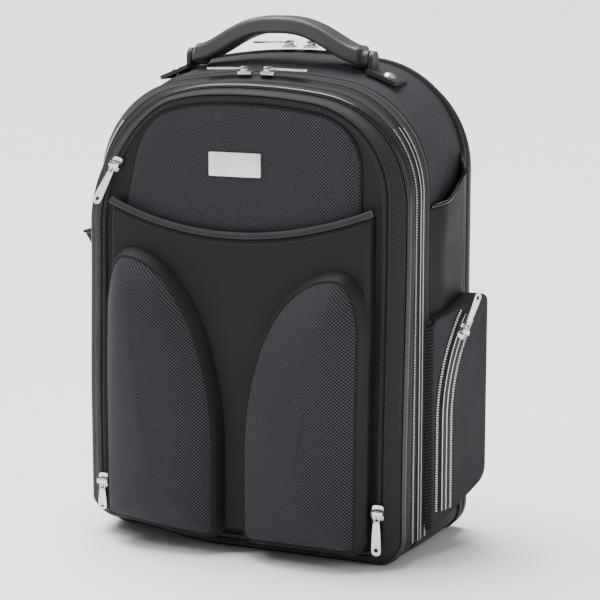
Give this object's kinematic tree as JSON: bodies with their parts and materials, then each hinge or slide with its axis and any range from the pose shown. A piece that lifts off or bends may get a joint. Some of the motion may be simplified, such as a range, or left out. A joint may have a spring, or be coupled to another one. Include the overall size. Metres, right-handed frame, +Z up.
{
  "type": "flight bag",
  "caption": "Soft backpack flight bag with clamshell zips, arched headset pockets, side pockets, padded straps and a carry handle.",
  "frame": {"origin": "centre of the flat base, on the floor plane", "axes": "+X to the viewer's right seen from the front, +Y from the front to the wearer's back, +Z up"},
  "size_m": [0.386, 0.212, 0.4765],
  "materials": {
    "nylon_fabric": "matte",
    "woven_fabric": "matte",
    "lining_fabric": "matte",
    "strap_fabric": "matte",
    "webbing": "matte",
    "zip_tape": "matte",
    "piping": "satin",
    "handle_rubber": "matte",
    "tab_plastic": "satin",
    "buckle_plastic": "satin",
    "board_plastic": "matte",
    "zip_metal": "satin",
    "rivet_metal": "satin",
    "plate_metal": "brushed",
    "core_steel": "mill"
  },
  "bodies": {
    "main_body": {"main_gusset": "nylon_fabric", "base_panel": "nylon_fabric", "base_board": "board_plastic", "divider_panel": "lining_fabric", "main_zip_rear_half": "zip_tape", "rear_zip_front_half": "zip_tape", "handle_tabs": "tab_plastic", "handle_rivets": "rivet_metal", "rivet_washers": "rivet_metal", "phone_pocket": "nylon_fabric", "tester_sleeve": "nylon_fabric", "side_pockets": "woven_fabric", "side_zips": "zip_tape"},
    "rear_section": {"rear_zip_rear_half": "zip_tape", "rear_gusset": "nylon_fabric", "rear_piping": "piping", "back_panel": "nylon_fabric", "back_pads": "woven_fabric", "laptop_sleeve": "lining_fabric", "strap_anchors": "webbing", "strap_webbing": "webbing"},
    "front_section": {"front_gusset": "nylon_fabric", "front_piping": "piping", "front_border": "nylon_fabric", "front_lining": "lining_fabric", "main_zip_front_half": "zip_tape"},
    "organizer": {"organizer_panel": "nylon_fabric", "organizer_zip": "zip_tape", "upper_panel": "woven_fabric", "document_pocket": "nylon_fabric", "pocket_binding": "piping", "name_plate": "plate_metal"},
    "headset_flap_left": {"headset_lid_left": "woven_fabric", "lid_band_left": "nylon_fabric"},
    "headset_flap_right": {"headset_lid_right": "woven_fabric", "lid_band_right": "nylon_fabric"},
    "handle": {"handle_grip": "handle_rubber", "handle_core": "core_steel"},
    "strap_left": {"shoulder_strap_left": "strap_fabric", "ladder_lock_left": "buckle_plastic"},
    "strap_right": {"shoulder_strap_right": "strap_fabric", "ladder_lock_right": "buckle_plastic"},
    "main_slider_left": {"main_slider_left": "zip_metal"},
    "main_puller_left": {"main_puller_left": "zip_metal"},
    "main_slider_right": {"main_slider_right": "zip_metal"},
    "main_puller_right": {"main_puller_right": "zip_metal"},
    "rear_slider_left": {"rear_slider_left": "zip_metal"},
    "rear_puller_left": {"rear_puller_left": "zip_metal"},
    "rear_slider_right": {"rear_slider_right": "zip_metal"},
    "rear_puller_right": {"rear_puller_right": "zip_metal"},
    "organizer_slider_top": {"organizer_slider_top": "zip_metal"},
    "organizer_puller_top": {"organizer_puller_top": "zip_metal"},
    "organizer_slider_right": {"organizer_slider_right": "zip_metal"},
    "organizer_puller_right": {"organizer_puller_right": "zip_metal"},
    "organizer_slider_left": {"organizer_slider_left": "zip_metal"},
    "organizer_puller_left": {"organizer_puller_left": "zip_metal"},
    "side_slider_right": {"side_slider_right": "zip_metal"},
    "side_puller_right": {"side_puller_right": "zip_metal"},
    "side_slider_left": {"side_slider_left": "zip_metal"},
    "side_puller_left": {"side_puller_left": "zip_metal"}
  },
  "joints": [
    {"name": "front_section_open", "type": "hinge", "parent": "main_body", "child": "front_section", "pos_m": [0, -0.042, 0.002], "axis": [1, 0, 0], "range_deg": [0, 85]},
    {"name": "organizer_open", "type": "hinge", "parent": "front_section", "child": "organizer", "pos_m": [0, -0.0856, 0.0108], "axis": [1, 0, 0], "range_deg": [0, 80]},
    {"name": "headset_flap_left_open", "type": "hinge", "parent": "organizer", "child": "headset_flap_left", "pos_m": [0, -0.0938, 0.012], "axis": [1, 0, 0], "range_deg": [0, 80]},
    {"name": "headset_flap_right_open", "type": "hinge", "parent": "organizer", "child": "headset_flap_right", "pos_m": [0, -0.0938, 0.012], "axis": [1, 0, 0], "range_deg": [0, 80]},
    {"name": "rear_section_open", "type": "hinge", "parent": "main_body", "child": "rear_section", "pos_m": [0, 0.052, 0.0006], "axis": [1, 0, 0], "range_deg": [-60, 0]},
    {"name": "handle_tilt", "type": "hinge", "parent": "main_body", "child": "handle", "pos_m": [0, 0.009, 0.4385], "axis": [1, 0, 0], "range_deg": [-30, 30]},
    {"name": "strap_left_swing", "type": "hinge", "parent": "rear_section", "child": "strap_left", "pos_m": [0, 0.0767, 0.392], "axis": [1, 0, 0], "range_deg": [0, 35]},
    {"name": "strap_right_swing", "type": "hinge", "parent": "rear_section", "child": "strap_right", "pos_m": [0, 0.0767, 0.392], "axis": [1, 0, 0], "range_deg": [0, 35]},
    {"name": "main_slider_left_travel", "type": "hinge", "parent": "front_section", "child": "main_slider_left", "pos_m": [0, -0.042, -0.06626], "axis": [0, 1, 0], "range_deg": [-7, 0]},
    {"name": "main_puller_left_flip", "type": "hinge", "parent": "main_slider_left", "child": "main_puller_left", "pos_m": [-0.01117, -0.042, 0.43121], "axis": [0, 1, 0], "range_deg": [0, 100]},
    {"name": "main_slider_right_travel", "type": "hinge", "parent": "front_section", "child": "main_slider_right", "pos_m": [0, -0.042, -0.06626], "axis": [0, 1, 0], "range_deg": [0, 7]},
    {"name": "main_puller_right_flip", "type": "hinge", "parent": "main_slider_right", "child": "main_puller_right", "pos_m": [0.01117, -0.042, 0.43121], "axis": [0, 1, 0], "range_deg": [-100, 0]},
    {"name": "rear_slider_left_travel", "type": "hinge", "parent": "rear_section", "child": "rear_slider_left", "pos_m": [0, 0.052, -0.047], "axis": [0, 1, 0], "range_deg": [-7, 0]},
    {"name": "rear_puller_left_flip", "type": "hinge", "parent": "rear_slider_left", "child": "rear_puller_left", "pos_m": [-0.01117, 0.052, 0.45048], "axis": [0, 1, 0], "range_deg": [0, 100]},
    {"name": "rear_slider_right_travel", "type": "hinge", "parent": "rear_section", "child": "rear_slider_right", "pos_m": [0, 0.052, -0.047], "axis": [0, 1, 0], "range_deg": [0, 7]},
    {"name": "rear_puller_right_flip", "type": "hinge", "parent": "rear_slider_right", "child": "rear_puller_right", "pos_m": [0.01117, 0.052, 0.45048], "axis": [0, 1, 0], "range_deg": [-100, 0]},
    {"name": "organizer_slider_top_travel", "type": "hinge", "parent": "organizer", "child": "organizer_slider_top", "pos_m": [-0.057, -0.0854, 0.32392], "axis": [0, 1, 0], "range_deg": [0, 50]},
    {"name": "organizer_puller_top_flip", "type": "hinge", "parent": "organizer_slider_top", "child": "organizer_puller_top", "pos_m": [-0.13313, -0.0908, 0.34575], "axis": [0.9613, 0, -0.2756], "range_deg": [-150, 0]},
    {"name": "organizer_slider_right_travel", "type": "slide", "parent": "organizer", "child": "organizer_slider_right", "axis": [0, 0, 1], "range_m": [0, 0.15]},
    {"name": "organizer_puller_right_flip", "type": "hinge", "parent": "organizer_slider_right", "child": "organizer_puller_right", "pos_m": [0.1362, -0.0908, 0.052], "axis": [1, 0, 0], "range_deg": [-150, 0]},
    {"name": "organizer_slider_left_travel", "type": "slide", "parent": "organizer", "child": "organizer_slider_left", "axis": [0, 0, 1], "range_m": [0, 0.15]},
    {"name": "organizer_puller_left_flip", "type": "hinge", "parent": "organizer_slider_left", "child": "organizer_puller_left", "pos_m": [-0.1362, -0.0908, 0.052], "axis": [1, 0, 0], "range_deg": [-150, 0]},
    {"name": "side_slider_right_travel", "type": "hinge", "parent": "main_body", "child": "side_slider_right", "pos_m": [0.218, 0.12924, 0.122], "axis": [0.9482, -0.3178, 0], "range_deg": [0, 30]},
    {"name": "side_puller_right_flip", "type": "hinge", "parent": "side_slider_right", "child": "side_puller_right", "pos_m": [0.18171, 0.00399, 0.20029], "axis": [0.2724, 0.8127, -0.515], "range_deg": [0, 150]},
    {"name": "side_slider_left_travel", "type": "hinge", "parent": "main_body", "child": "side_slider_left", "pos_m": [-0.218, 0.12924, 0.122], "axis": [-0.9482, -0.3178, 0], "range_deg": [-28, 0]},
    {"name": "side_puller_left_flip", "type": "hinge", "parent": "side_slider_left", "child": "side_puller_left", "pos_m": [-0.18087, 0.00147, 0.19569], "axis": [-0.2779, 0.8293, -0.4848], "range_deg": [0, 150]}
  ]
}
